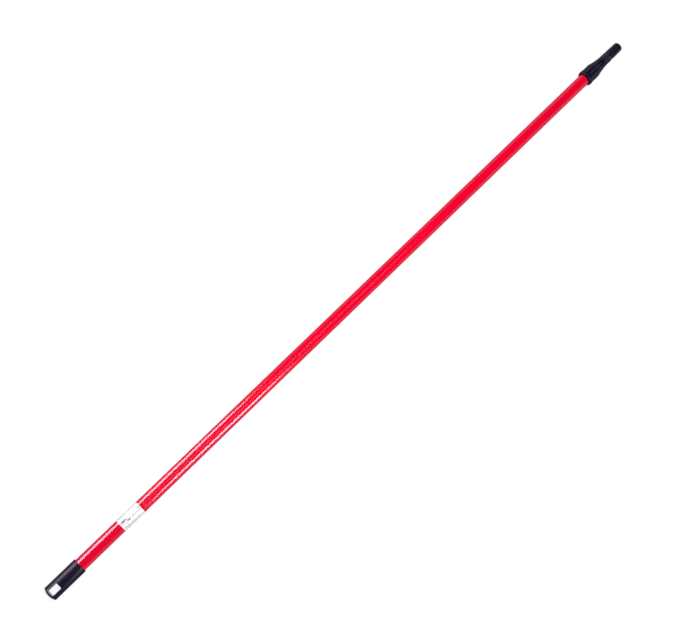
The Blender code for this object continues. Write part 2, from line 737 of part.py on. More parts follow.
def make_tip_adaptor(plastic, parent):
    """The plug in the inner tube's upper end: a shank, a seat, a coarse thread and a ribbed lead-in."""
    core = SHANK_RADIUS - TIP_WALL
    pilot_core = PILOT_END_RADIUS - TIP_WALL
    seat = INNER_END + SEAT_GAP
    thread_chamfer = TIP_THREAD_CREST_RADIUS - TIP_THREAD_ROOT_RADIUS
    tip = turned(
        "tip_adaptor",
        [
            (INNER_END - SHANK_LENGTH, core),
            (INNER_END - SHANK_LENGTH, SHANK_RADIUS),
            (seat, SHANK_RADIUS),
            (seat, TIP_BASE_RADIUS),
            (TIP_FLANGE_START, TIP_BASE_RADIUS),
            (TIP_FLANGE_START, TIP_FLANGE_RADIUS),
            (TIP_THREAD_START - SEAT_GAP, TIP_FLANGE_RADIUS),
            (TIP_THREAD_START, TIP_THREAD_ROOT_RADIUS),
            (PILOT_GROOVE_START, TIP_THREAD_ROOT_RADIUS),
            (PILOT_START - PILOT_CHAMFER, TIP_THREAD_ROOT_RADIUS),
            (PILOT_START, pilot_radius(PILOT_START)),
            (CLOSED_LENGTH - PILOT_CHAMFER, pilot_radius(CLOSED_LENGTH)),
            (CLOSED_LENGTH, pilot_radius(CLOSED_LENGTH) - PILOT_CHAMFER),
            (CLOSED_LENGTH, 0),
            (CLOSED_LENGTH - TIP_END_WALL, 0),
            (CLOSED_LENGTH - TIP_END_WALL, pilot_core),
            (TIP_THREAD_START, pilot_core),
            (TIP_FLANGE_START, core),
        ],
    )
    finish(tip, plastic, parent)
    join(
        tip,
        thread_ridge(
            "tip_thread", TIP_THREAD_START + TIP_THREAD_ROOT_WIDTH / 2 + SEAT_GAP, TIP_PITCH,
            TIP_THREAD_TURNS, (TIP_THREAD_ROOT_RADIUS - OVERLAP, TIP_THREAD_CREST_RADIUS),
            (TIP_THREAD_ROOT_WIDTH, TIP_THREAD_CREST_WIDTH),
        ),
    )
    join(tip, pilot_ribs("pilot_ribs", PILOT_START + PILOT_CHAMFER, CLOSED_LENGTH - 3 * PILOT_CHAMFER))
    cut(
        tip,
        radial_pin(
            "tip_pin_hole", tip_pin_place(), -INNER_TUBE_RADIUS, INNER_TUBE_RADIUS,
            PIN_RADIUS + SEAT_GAP, 1,
        ),
    )


def axis_empty(name, parent, from_butt):
    """An empty on the pole's axis, at a distance from the butt end."""
    empty = bpy.data.objects.new(name, None)
    bpy.context.scene.collection.objects.link(empty)
    empty["from_butt"] = from_butt
    if parent is None:
        empty.location = (from_butt - CLOSED_LENGTH / 2, 0, LIP_RADIUS)
    else:
        empty.parent = parent
        empty.location = (from_butt - parent["from_butt"], 0, 0)
    return empty


def main():
    for obj in list(bpy.data.objects):
        bpy.data.objects.remove(obj)
    black = material("black_polypropylene", (0.018, 0.018, 0.020), 0.42)
    red = material("red_plastic_coat", (0.62, 0.003, 0.020), 0.18)
    zinc = material("zinc_plated_steel", (0.62, 0.63, 0.65), 0.30, metallic=1.0)
    steel = material("bright_steel", (0.55, 0.55, 0.56), 0.35, metallic=1.0)
    nylon = material("natural_nylon", (0.72, 0.70, 0.63), 0.45)
    rubber = material("black_rubber", (0.02, 0.02, 0.02), 0.7)
    film = material("white_label_film", (0.85, 0.85, 0.85), 0.35)

    pole = axis_empty("pole_axis", None, 0.0)
    make_end_cap(black, pole)
    make_outer_tube(red, pole)
    make_label(film, pole)
    make_threaded_sleeve(black, pole)
    make_sleeve_rivets(steel, pole)
    make_mouth_bush(nylon, pole)
    make_clamp_ring(nylon, pole)

    nut = axis_empty("nut_axis", pole, NUT_MOUTH)
    make_thrust_washer(nylon, nut)
    make_twist_nut(black, nut)
    make_nose_wiper(rubber, nut)

    inner = axis_empty("inner_axis", pole, INNER_START)
    make_glide_ring("glide_ring_lower", LOWER_RING_START, nylon, inner)
    make_glide_ring("glide_ring_upper", UPPER_RING_START, nylon, inner)
    make_inner_tube(zinc, inner)
    make_foot_plug(nylon, inner)
    make_foot_bumper(rubber, inner)
    make_cross_pin("foot_pin", foot_pin_place(), steel, inner)
    make_tip_adaptor(black, inner)
    make_cross_pin("tip_pin", tip_pin_place(), steel, inner)


main()
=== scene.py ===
"""The looks of a telescopic roller extension pole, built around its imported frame.

The pole lies along X with its butt at -X. Every new piece is turned about the pole's axis or cut from
such a turned piece, and takes its ends and radii from the frame's own parts.
"""

import math

import bmesh
import bpy
from bpy.props import FloatProperty, FloatVectorProperty, IntProperty, PointerProperty
from mathutils import Matrix, Vector


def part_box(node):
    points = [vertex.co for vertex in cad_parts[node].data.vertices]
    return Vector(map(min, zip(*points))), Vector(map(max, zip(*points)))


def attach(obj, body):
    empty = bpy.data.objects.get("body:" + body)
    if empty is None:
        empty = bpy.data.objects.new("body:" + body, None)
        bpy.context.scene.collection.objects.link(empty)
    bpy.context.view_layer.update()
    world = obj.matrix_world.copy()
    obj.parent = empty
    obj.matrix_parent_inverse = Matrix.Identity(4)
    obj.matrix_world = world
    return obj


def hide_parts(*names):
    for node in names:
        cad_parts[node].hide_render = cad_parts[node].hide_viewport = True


bl_info = {
    "name": "Roller Extension Pole",
    "version": (1, 0, 0),
    "blender": (4, 5, 0),
    "location": "3D View > Sidebar > Pole",
    "description": "Models a telescopic painter's pole with a twist lock, round its packed frame",
    "category": "Object",
}

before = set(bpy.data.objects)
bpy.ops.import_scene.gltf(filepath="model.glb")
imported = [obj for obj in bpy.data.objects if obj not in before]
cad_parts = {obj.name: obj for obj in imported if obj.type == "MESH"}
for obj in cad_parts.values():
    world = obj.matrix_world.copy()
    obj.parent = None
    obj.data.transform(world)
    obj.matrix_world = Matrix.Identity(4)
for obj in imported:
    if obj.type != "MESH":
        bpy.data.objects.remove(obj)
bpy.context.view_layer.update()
MM = 0.001
TUBE_EDGE = 0.2 * MM  # rounding of both tubes' ends
SMALL_EDGE = 0.3 * MM  # rounding of the sharper edges of moulded pieces


def reach(node):
    """(lowest x, highest x, largest radius) of a part of the frame."""
    low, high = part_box(node)
    return low.x, high.x, (high.z - low.z) / 2


def axis_height():
    low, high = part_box("outer_tube")
    return (low.z + high.z) / 2


AXIS_Z = axis_height()
BUTT_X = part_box("end_cap")[0].x
TIP_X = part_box("tip_adaptor")[1].x
FULL_TURN = 2 * math.pi


def linear(hex_colour):
    """A linear colour from an sRGB hex string."""
    channels = [int(hex_colour[i : i + 2], 16) / 255 for i in (1, 3, 5)]
    return tuple(c / 12.92 if c <= 0.04045 else ((c + 0.055) / 1.055) ** 2.4 for c in channels)


def length(name, description, default):
    return FloatProperty(
        name=name, description=description, default=default, min=0.0, unit="LENGTH", precision=5
    )


def colour(name, description, hex_colour):
    return FloatVectorProperty(
        name=name, description=description, default=linear(hex_colour), size=3,
        subtype="COLOR", min=0.0, max=1.0,
    )


class PoleSizes(bpy.types.PropertyGroup):
    """Sizes of the moulded and turned shapes that the frame's boxes don't give."""

    tube_wall: length("Tube wall", "Wall of both steel tubes", 0.6 * MM)
    cap_dome: length("Cap dome", "How far the cap's end is domed", 3.0 * MM)
    cap_flat: length("Cap flat", "Radius of the flat in the middle of the cap's end", 6.0 * MM)
    cap_corner: length("Cap corner", "Rounding of the cap's outer edges", 0.9 * MM)
    slot_from_butt: length("Slot place", "From the cap's end to the hanging slot", 4.2 * MM)
    slot_length: length("Slot length", "Hanging slot along the pole", 20.0 * MM)
    slot_width: length("Slot width", "Hanging slot across the pole", 12.0 * MM)
    slot_corner: length("Slot corner", "Rounding of the slot's corners", 1.5 * MM)
    slot_rim: length("Slot rim", "Rounding of the slot's rim", 0.45 * MM)
    cap_floor: length("Cap floor", "Plastic between the slot and the tube's socket", 6.1 * MM)
    lip_length: length("Lip length", "Length of the nut's lip", 7.8 * MM)
    lip_step: length("Lip step", "How far the lip stands over the ribs", 0.8 * MM)
    lip_corner: length("Lip corner", "Rounding of the lip's rear edge", 1.1 * MM)
    mouth_ease: length("Mouth ease", "How far along the lip its mouth side is rounded", 2.2 * MM)
    mouth_drop: length("Mouth drop", "How far inwards the lip's mouth side is rounded", 1.4 * MM)
    rib_height: length("Rib height", "Height of the nut's ribs", 0.7 * MM)
    rib_count: IntProperty(
        name="Nut ribs", description="Ribs round the twist nut", default=12, min=6, max=60
    )
    cone_start: length("Cone start", "From the nut's mouth to its cone", 30.5 * MM)
    nose_wall: length("Nose wall", "Wall of the nut's nose", 0.8 * MM)
    flange_length: length("Tip flange", "Length of the flange under the tip's thread", 3.0 * MM)
    flange_gap: length("Tip gap", "From the nut's nose to the tip's flange", 3.8 * MM)
    thread_length: length("Tip thread", "Length of the tip's threaded stretch", 22.0 * MM)
    thread_pitch: length("Thread pitch", "Pitch of the tip's thread", 5.0 * MM)
    thread_root: length("Thread root", "Radius between the tip's threads", 9.9 * MM)
    thread_crest: length("Thread crest", "Radius on the tip's threads", 11.15 * MM)
    neck_length: length("Tip neck", "Neck between the thread and the lead-in", 4.0 * MM)
    pilot_radius: length("Lead-in radius", "Radius of the tip's lead-in at the neck", 10.6 * MM)
    pilot_end_radius: length("End radius", "Radius of the tip's lead-in at its end", 10.1 * MM)
    pilot_rib_height: length("Lead-in ribs", "Height of the ribs on the lead-in", 0.4 * MM)
    pilot_rib_count: IntProperty(
        name="Lead-in rib count", description="Ribs round the tip's lead-in", default=10, min=4, max=30
    )
    pin_radius: length("Pin radius", "Radius of the cross pins", 1.5 * MM)


class PoleFinishes(bpy.types.PropertyGroup):
    """Colours of the pole's materials."""

    red: colour("Red sleeve", "The red plastic that sheathes the outer tube", "#FA0030")
    red_deep: colour("Deep red", "Its darker streaks", "#E90031")
    black: colour("Black plastic", "The cap, the nut and the tip", "#100C22")
    # Also painted along the ribs' crests: partly rubbing, and partly a painted highlight.
    black_worn_and_crest_highlight: colour("Rubbed plastic", "Black plastic where hands rub it", "#2A2535")
    film: colour("Label film", "The white label", "#F6F5F5")
    print_dark: colour("Print", "The label's dark red print", "#8C1B42")
    print_grey: colour("Grey print", "The label's grey print", "#8E9AA4")
    zinc: colour("Zinc plate", "The inner tube", "#DADDE0")
    steel: colour("Bare steel", "The pins and rivets", "#B9B9BC")
    nylon: colour("Nylon", "Natural nylon inside the pole", "#DDD8C6")
    rubber: colour("Rubber", "The wiper and the bumper", "#1C1C1D")


class PoleStudio(bpy.types.PropertyGroup):
    """The stage: floor, lights and camera."""

    floor_glow: FloatProperty(
        name="Floor glow", description="Light from the lit white floor itself", default=0.84, min=0.0
    )
    horizon: FloatProperty(
        name="Horizon", description="Brightness of the pale wall round the set", default=0.8, min=0.0
    )
    strip_power: FloatProperty(
        name="Strip power", description="Power of the left strip softbox", default=26.0, unit="POWER"
    )
    strip_balance: FloatProperty(
        name="Strip balance", description="Right strip's power as a share of the left's", default=0.55
    )
    fill_power: FloatProperty(
        name="Fill power", description="Power of the overhead softbox", default=46.0, unit="POWER"
    )


# Modelling helpers


def filleted(corners, steps=5):
    """Points along a closed outline. Each corner is (x, radius) or (x, radius, fillet)."""
    points = []
    for i, corner in enumerate(corners):
        here = Vector(corner[:2])
        if len(corner) == 2:
            points.append(here)
            continue
        before = (Vector(corners[i - 1][:2]) - here).normalized()
        after = (Vector(corners[(i + 1) % len(corners)][:2]) - here).normalized()
        half = before.angle(after) / 2
        centre = here + (before + after).normalized() * (corner[2] / math.sin(half))
        start = here + before * corner[2] / math.tan(half) - centre
        end = here + after * corner[2] / math.tan(half) - centre
        points += [centre + start.lerp(end, k / steps).normalized() * corner[2] for k in range(steps + 1)]
    return points


def tube_outline(start, end, bore, radius, edge):
    """A tube's section as (x, radius) points, with its outer edges rounded."""
    return filleted([(start, bore), (start, radius, edge), (end, radius, edge), (end, bore)], 3)


def turned(outline, steps=128, angle=FULL_TURN, start_angle=0.0):
    """A bmesh turned about the pole's axis from a closed outline of (x, radius) points."""
    shape = bmesh.new()
    points = [shape.verts.new((x, 0, AXIS_Z + max(r, 0.0))) for x, r in outline]
    edges = [
        shape.edges.new((points[i - 1], points[i]))
        for i in range(len(points))
        if max(outline[i - 1][1], outline[i][1]) > 1e-9
    ]
    whole = angle >= FULL_TURN
    faces = [] if whole else [shape.faces.new(points)]
    centre = (0, 0, AXIS_Z)
    bmesh.ops.rotate(
        shape, verts=points, cent=centre, matrix=Matrix.Rotation(start_angle, 3, "X")
    )
    bmesh.ops.spin(
        shape, geom=points + edges + faces, cent=centre, axis=(1, 0, 0),
        angle=angle, steps=steps, use_merge=whole,
    )
    bmesh.ops.remove_doubles(shape, verts=shape.verts, dist=1e-7)
    return shape


def polar(point):
    """(angle about the pole's axis from straight up, distance from it) of a point."""
    y, z = point.y, point.z - AXIS_Z
    return math.atan2(-y, z), math.hypot(y, z)


def set_radius(vertex, radius):
    angle, _ = polar(vertex.co)
    vertex.co.y = -radius * math.sin(angle)
    vertex.co.z = AXIS_Z + radius * math.cos(angle)


def smooth_step(value, low, high):
    share = min(max((value - low) / (high - low), 0.0), 1.0)
    return share * share * (3 - 2 * share)


def piece(name, shape, material, body, slot, *stands_for, sharp=35.0):
    """Makes a finished, closed bmesh into a piece of the pole."""
    bmesh.ops.recalc_face_normals(shape, faces=shape.faces)
    mesh = bpy.data.meshes.new(name)
    shape.to_mesh(mesh)
    shape.free()
    mesh.shade_smooth()
    mesh.set_sharp_from_angle(angle=math.radians(sharp))
    made = bpy.data.objects.new(name, mesh)
    bpy.context.scene.collection.objects.link(made)
    mesh.materials.append(material)
    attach(made, body)
    if stands_for:
        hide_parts(*stands_for)
    return made


def difference(shape, cutter):
    """The shape less the cutter, as a new bmesh. Both are used up."""
    objects = []
    for part in (shape, cutter):
        bmesh.ops.recalc_face_normals(part, faces=part.faces)
        mesh = bpy.data.meshes.new("cut")
        part.to_mesh(mesh)
        part.free()
        made = bpy.data.objects.new("cut", mesh)
        bpy.context.scene.collection.objects.link(made)
        objects.append(made)
    body, tool = objects
    modifier = body.modifiers.new("cut", "BOOLEAN")
    modifier.operation = "DIFFERENCE"
    modifier.solver = "EXACT"
    modifier.object = tool
    graph = bpy.context.evaluated_depsgraph_get()
    result = bmesh.new()
    result.from_mesh(body.evaluated_get(graph).data)
    for made in objects:
        mesh = made.data
        bpy.data.objects.remove(made)
        bpy.data.meshes.remove(mesh)
    return result


# Materials


def node(tree, kind, links=None, **settings):
    """Adds a shader node. links maps its inputs to sockets or values, and settings are its own."""
    made = tree.nodes.new("ShaderNode" + kind)
    for key, value in settings.items():
        setattr(made, key, value)
    for key, value in (links or {}).items():
        if isinstance(value, bpy.types.NodeSocket):
            tree.links.new(value, made.inputs[key])
        else:
            made.inputs[key].default_value = value
    return made


def new_material(name, roughness, metallic=0.0, ior=1.5):
    """An empty material with its shader's uniform values set."""
    made = bpy.data.materials.new(name)
    made.use_nodes = True
    tree = made.node_tree
    shader = tree.nodes["Principled BSDF"]
    shader.inputs["Roughness"].default_value = roughness
    shader.inputs["Metallic"].default_value = metallic
    if not metallic:
        shader.inputs["IOR"].default_value = ior
    return made, tree, shader


def rgba(value):
    return (*value, 1.0)


def object_points(tree, stretch=(1, 1, 1)):
    """Object coordinates centred on the pole's axis, with each direction scaled."""
    where = node(tree, "TexCoord")
    centred = node(
        tree, "Mapping",
        {"Vector": where.outputs["Object"], "Location": (0, 0, -AXIS_Z * stretch[2]), "Scale": stretch},
    )
    return centred.outputs["Vector"]


def red_sleeve_material():
    # Soft PVC, extruded over the steel tube: a glossy even red, a little wavy from the die, with faint
    # lengthwise draw lines and slight changes of depth where the skin is thinner.
    finishes = bpy.context.scene.pole_finishes
    made, tree, shader = new_material("extruded_red_pvc", roughness=0.15, ior=1.53)
    lines = object_points(tree, (3, 900, 900))  # draw lines about 1 mm apart and 300 mm long
    streaks = node(tree, "TexNoise", {"Vector": lines, "Scale": 1.0, "Detail": 3.0})
    depth = node(tree, "TexNoise", {"Vector": object_points(tree), "Scale": 9.0, "Detail": 2.0})
    mixed = node(
        tree, "Math", {0: streaks.outputs["Fac"], 1: depth.outputs["Fac"]}, operation="MULTIPLY"
    )
    tint = node(
        tree, "MapRange", {"Value": mixed.outputs["Value"], "From Min": 0.12, "From Max": 0.40}
    )
    paint = node(
        tree, "Mix",
        {"Factor": tint.outputs["Result"], "A": rgba(finishes.red_deep), "B": rgba(finishes.red)},
        data_type="RGBA",
    )
    tree.links.new(paint.outputs["Result"], shader.inputs["Base Color"])
    gloss = node(
        tree, "MapRange",
        {"Value": streaks.outputs["Fac"], "From Min": 0.3, "From Max": 0.7, "To Min": 0.13, "To Max": 0.17},
    )
    tree.links.new(gloss.outputs["Result"], shader.inputs["Roughness"])
    ripples = object_points(tree, (3, 60, 60))  # shallow waves about 17 mm apart round the tube
    waves = node(tree, "TexNoise", {"Vector": ripples, "Scale": 1.0, "Detail": 1.0})
    skin = node(tree, "Bump", {"Height": waves.outputs["Fac"], "Strength": 0.2, "Distance": 0.01 * MM})
    tree.links.new(skin.outputs["Normal"], shader.inputs["Normal"])
    return made


def black_plastic_material(name, roughness, rubbed, painted_crest_highlight=0.0, specular=0.5):
    # Black polypropylene or nylon, injection moulded in a spark-eroded mould: a deep, slightly violet
    # black with a satin sheen and a fine grain, greyed in patches where it is handled. On the ribs'
    # crests, where the "crest" attribute is 1, it is painted paler all along: partly rubbing, and partly a
    # painted highlight that stands in for the light the crests catch.
    finishes = bpy.context.scene.pole_finishes
    made, tree, shader = new_material(name, roughness, ior=1.42)
    shader.inputs["Specular IOR Level"].default_value = specular
    where = object_points(tree)
    marks = node(tree, "TexNoise", {"Vector": where, "Scale": 60.0, "Detail": 6.0, "Roughness": 0.65})
    wear_and_crest_highlight = node(
        tree, "MapRange",
        {"Value": marks.outputs["Fac"], "From Min": 0.45, "From Max": 0.75, "To Max": rubbed},
    )
    # The crest attribute adds a painted highlight along the ribs' crests, which also reads as rubbing.
    crest = node(tree, "Attribute", attribute_name="crest")
    edge = node(tree, "Math", {0: crest.outputs["Fac"], 1: painted_crest_highlight}, operation="MULTIPLY")
    pale = node(
        tree, "Math", {0: wear_and_crest_highlight.outputs["Result"], 1: edge.outputs["Value"]},
        operation="ADD", use_clamp=True,
    )
    surface = node(
        tree, "Mix",
        {"Factor": pale.outputs["Value"], "A": rgba(finishes.black), "B": rgba(finishes.black_worn_and_crest_highlight)},
        data_type="RGBA",
    )
    tree.links.new(surface.outputs["Result"], shader.inputs["Base Color"])
    gloss = node(
        tree, "MapRange",
        {"Value": marks.outputs["Fac"], "From Min": 0.3, "From Max": 0.7,
         "To Min": roughness + 0.05, "To Max": roughness - 0.05},
    )
    tree.links.new(gloss.outputs["Result"], shader.inputs["Roughness"])
    grain = node(tree, "TexNoise", {"Vector": where, "Scale": 1600.0, "Detail": 2.0})  # 0.6 mm grain
    bump = node(tree, "Bump", {"Height": grain.outputs["Fac"], "Strength": 0.4, "Distance": 0.04 * MM})
    tree.links.new(bump.outputs["Normal"], shader.inputs["Normal"])
    return made


def metal_material(name, tint, roughness, along, across, metallic=1.0):
    # Drawn steel, bare or bright zinc plated: grey metal with fine polish lines and cloudy plating. The
    # plating's passivated skin scatters some light, so it takes a lower metallic value and stays pale.
    # along and across are how many lines there are in a metre.
    made, tree, shader = new_material(name, roughness, metallic)
    lines = node(
        tree, "TexNoise",
        {"Vector": object_points(tree, (along, across, across)), "Scale": 1.0, "Detail": 4.0},
    )
    cloud = node(tree, "TexNoise", {"Vector": object_points(tree), "Scale": 14.0, "Detail": 3.0})
    shade = node(
        tree, "MapRange",
        {"Value": cloud.outputs["Fac"], "From Min": 0.3, "From Max": 0.7, "To Min": 0.86, "To Max": 1.0},
    )
    tinted = node(
        tree, "Mix",
        {"Factor": shade.outputs["Result"], "A": rgba([c * 0.6 for c in tint]), "B": rgba(tint)},
        data_type="RGBA",
    )
    tree.links.new(tinted.outputs["Result"], shader.inputs["Base Color"])
    gloss = node(
        tree, "MapRange",
        {"Value": lines.outputs["Fac"], "From Min": 0.3, "From Max": 0.7,
         "To Min": roughness - 0.07, "To Max": roughness + 0.08},
    )
    tree.links.new(gloss.outputs["Result"], shader.inputs["Roughness"])
    bump = node(tree, "Bump", {"Height": lines.outputs["Fac"], "Strength": 0.15, "Distance": 0.03 * MM})
    tree.links.new(bump.outputs["Normal"], shader.inputs["Normal"])
    return made


def moulded_material(name, tint, roughness, subsurface=0.0):
    # Moulded nylon or rubber: plain and even, with a faint cloudiness and a slightly uneven face.
    # Subsurface light gives the nylon its waxy look.
    made, tree, shader = new_material(name, roughness)
    cloud = node(tree, "TexNoise", {"Vector": object_points(tree), "Scale": 120.0, "Detail": 3.0})
    tinted = node(
        tree, "Mix",
        {"Factor": cloud.outputs["Fac"], "A": rgba([c * 0.85 for c in tint]), "B": rgba(tint)},
        data_type="RGBA",
    )
    tree.links.new(tinted.outputs["Result"], shader.inputs["Base Color"])
    bump = node(tree, "Bump", {"Height": cloud.outputs["Fac"], "Strength": 0.2, "Distance": 0.05 * MM})
    tree.links.new(bump.outputs["Normal"], shader.inputs["Normal"])
    shader.inputs["Subsurface Weight"].default_value = subsurface
    return made


def box_mask(tree, along, around, low, high):
    """1 inside a rectangle of the label and 0 outside. low and high are (along, around) in metres."""
    soft = 0.15 * MM
    masks = []
    for value, start, end in ((along, low[0], high[0]), (around, low[1], high[1])):
        middle, half = (start + end) / 2, (end - start) / 2
        off = node(tree, "Math", {0: value, 1: middle}, operation="SUBTRACT")
        distance = node(tree, "Math", {0: off.outputs[0]}, operation="ABSOLUTE")
        masks.append(
            node(
                tree, "MapRange",
                {"Value": distance.outputs[0], "From Min": half - soft, "From Max": half + soft,
                 "To Min": 1.0, "To Max": 0.0},
            ).outputs["Result"]
        )
    return node(tree, "Math", {0: masks[0], 1: masks[1]}, operation="MULTIPLY").outputs[0]


def bars(rows):
    """Rectangles on the label, in metres, from rows of (around, height, (start, end), ...) in mm."""
    boxes = []
    for around, height, *spans in rows:
        for start, end in spans:
            low = (start * MM, (around - height / 2) * MM)
            high = (end * MM, (around + height / 2) * MM)
            boxes.append((low, high))
    return boxes


def label_material():
    # Self-adhesive polypropylene film, screen printed: smooth satin white with a dark red roller, and
    # grey bars where a label has its small print.
    finishes = bpy.context.scene.pole_finishes
    made, tree, shader = new_material("printed_polypropylene_film", roughness=0.38, ior=1.46)
    place = node(tree, "UVMap", uv_map="label")
    split = node(tree, "SeparateXYZ", {"Vector": place.outputs["UV"]})
    along, around = split.outputs["X"], split.outputs["Y"]
    roller = bars([(-2.8, 2.8, (3.5, 12.5)), (-2.8, 0.7, (12.5, 15.0)), (-0.6, 4.9, (14.3, 15.0)),
                   (1.5, 1.9, (15.0, 21.0))])
    small_print = bars([
        (-15.0, 1.2, (3.5, 7.0), (8.0, 12.5)),
        (8.9, 1.4, (3.5, 8.0), (9.0, 14.5), (15.5, 19.0), (20.0, 28.0)),
        (13.4, 1.2, (8.0, 13.0), (14.0, 21.0)),
        (10.2, 2.0, (32.0, 37.0)),
        (-5.0, 0.8, (42.0, 45.0)),
        (-2.6, 0.8, (42.0, 44.0)),
        (-0.2, 0.8, (42.0, 45.0)),
        (2.2, 0.8, (42.0, 44.0)),
    ])
    pictures = bars([(1.3, 3.6, (27.0, 30.4), (31.8, 35.2), (36.6, 40.0))])
    shown = rgba(finishes.film)
    for boxes, ink, strength in (
        (roller, finishes.print_dark, 0.92),
        (small_print, finishes.print_grey, 0.95),
        (pictures, finishes.print_grey, 0.3),
    ):
        total = 0.0
        for low, high in boxes:
            mask = box_mask(tree, along, around, low, high)
            total = node(tree, "Math", {0: total, 1: mask}, operation="MAXIMUM").outputs["Value"]
        inked = node(tree, "Math", {0: total, 1: strength}, operation="MULTIPLY")
        shown = node(
            tree, "Mix", {"Factor": inked.outputs["Value"], "A": shown, "B": rgba(ink)}, data_type="RGBA"
        ).outputs["Result"]
    tree.links.new(shown, shader.inputs["Base Color"])
    wrinkle = node(tree, "TexNoise", {"Vector": object_points(tree), "Scale": 60.0, "Detail": 1.0})
    bump = node(tree, "Bump", {"Height": wrinkle.outputs["Fac"], "Strength": 0.3, "Distance": 0.04 * MM})
    tree.links.new(bump.outputs["Normal"], shader.inputs["Normal"])
    return made


# Pieces


class POLE_OT_outer_tube(bpy.types.Operator):
    """Model the red sheathed outer tube"""

    bl_idname = "pole.outer_tube"
    bl_label = "Outer Tube"

    def execute(self, context):
        sizes = context.scene.pole_sizes
        start, end, radius = reach("outer_tube")
        outline = tube_outline(start, end, radius - sizes.tube_wall, radius, TUBE_EDGE)
        shape = turned(outline, steps=160)
        piece("red_outer_tube", shape, red_sleeve_material(), "outer", "red_coat", "outer_tube")
        return {"FINISHED"}


class POLE_OT_label(bpy.types.Operator):
    """Wrap the printed film round the outer tube"""

    bl_idname = "pole.label"
    bl_label = "Label"

    def execute(self, context):
        start, end, radius = reach("label")
        glue, film_edge = 0.05 * MM, 0.08 * MM
        slit = math.radians(5)
        outline = tube_outline(start, end, reach("outer_tube")[2] + glue, radius, film_edge)
        shape = turned(outline, steps=120, angle=FULL_TURN - slit, start_angle=math.pi + slit / 2)
        across = shape.loops.layers.uv.new("label")
        for face in shape.faces:
            for corner in face.loops:
                angle, _ = polar(corner.vert.co)
                corner[across].uv = (corner.vert.co.x - start, angle * radius)
        piece("printed_label", shape, label_material(), "outer", "label_film", "label")
        return {"FINISHED"}


def slot_ring(shape, sizes, grow, radius, side):
    """A wire loop round the slot, grown a little and laid on a cylinder about the pole's axis."""
    x0 = BUTT_X + sizes.slot_from_butt - grow
    x1 = BUTT_X + sizes.slot_from_butt + sizes.slot_length + grow
    half = sizes.slot_width / 2 + grow
    corner = sizes.slot_corner + grow
    outline = filleted([(x0, -half, corner), (x1, -half, corner), (x1, half, corner), (x0, half, corner)])
    verts = [
        shape.verts.new((x, y, AXIS_Z + side * math.sqrt(radius**2 - y**2))) for x, y in outline
    ]
    return [shape.edges.new((verts[i - 1], verts[i])) for i in range(len(verts))]


def slot_cutter(sizes, cap_radius):
    """The slot's opening, right through the cap, flared at both rims to leave them rounded."""
    rim = sizes.slot_rim
    flare, clear_of_cap = 1.3 * rim, 2 * MM
    levels = [(flare, cap_radius + clear_of_cap), (flare, cap_radius + 0.15 * rim)]
    for degrees in (15, 40, 65, 90):
        turn = math.radians(degrees)
        levels.append((rim * (1 - math.sin(turn)), cap_radius - rim * (1 - math.cos(turn))))
    under_rim = 0.5 * MM  # a loop this far down keeps the walls' shading flat up to the rim
    levels.append((0.0, cap_radius - rim - under_rim))
    shape = bmesh.new()
    rings = [slot_ring(shape, sizes, grow, radius, 1) for grow, radius in levels]
    rings += [slot_ring(shape, sizes, grow, radius, -1) for grow, radius in reversed(levels)]
    for upper, lower in zip(rings, rings[1:]):
        bmesh.ops.bridge_loops(shape, edges=upper + lower)
    bmesh.ops.holes_fill(shape, edges=rings[0] + rings[-1], sides=0)
    return shape


class POLE_OT_end_cap(bpy.types.Operator):
    """Model the end cap with its hanging slot"""

    bl_idname = "pole.end_cap"
    bl_label = "End Cap"

    def execute(self, context):
        sizes = context.scene.pole_sizes
        start, end, radius = reach("end_cap")
        socket_gap, socket_edge = 0.15 * MM, 0.4 * MM
        flat_edge, mouth_edge = 1.0 * MM, 0.8 * MM
        dome_rings = 8
        socket = reach("outer_tube")[2] + socket_gap
        floor = start + sizes.slot_from_butt + sizes.slot_length + sizes.cap_floor
        edge = radius - sizes.cap_corner
        dome_radius = (edge**2 - sizes.cap_flat**2 + sizes.cap_dome**2) / (2 * sizes.cap_dome)
        rise = math.sqrt(dome_radius**2 - sizes.cap_flat**2)
        corners = [(start, 0.0), (start, sizes.cap_flat, flat_edge)]
        for i in range(1, dome_rings):
            r = sizes.cap_flat + (edge - sizes.cap_flat) * i / dome_rings
            corners.append((start + rise - math.sqrt(dome_radius**2 - r**2), r))
        corners += [
            (start + sizes.cap_dome + 0.4 * sizes.cap_corner, radius, sizes.cap_corner),
            (end, radius, mouth_edge),
            (end, socket, socket_edge),
            (floor, socket),
            (floor, 0.0),
        ]
        shape = difference(turned(filleted(corners), steps=128), slot_cutter(sizes, radius))
        plastic = black_plastic_material(
            "moulded_black_polypropylene", roughness=0.35, rubbed=0.12, specular=0.25
        )
        piece("slotted_end_cap", shape, plastic, "outer", "black_plastic", "end_cap")
        return {"FINISHED"}


def rib_profile(angle, count, phase=0.5, width=0.30, softness=0.12):
    """1 on a rib's crest, 0 between ribs, with rounded flanks. width is the rib's share of its pitch."""
    turns = angle / FULL_TURN * count + phase
    off = abs(turns - math.floor(turns) - 0.5) * 2
    return 1 - smooth_step(off, width - softness, width + softness)


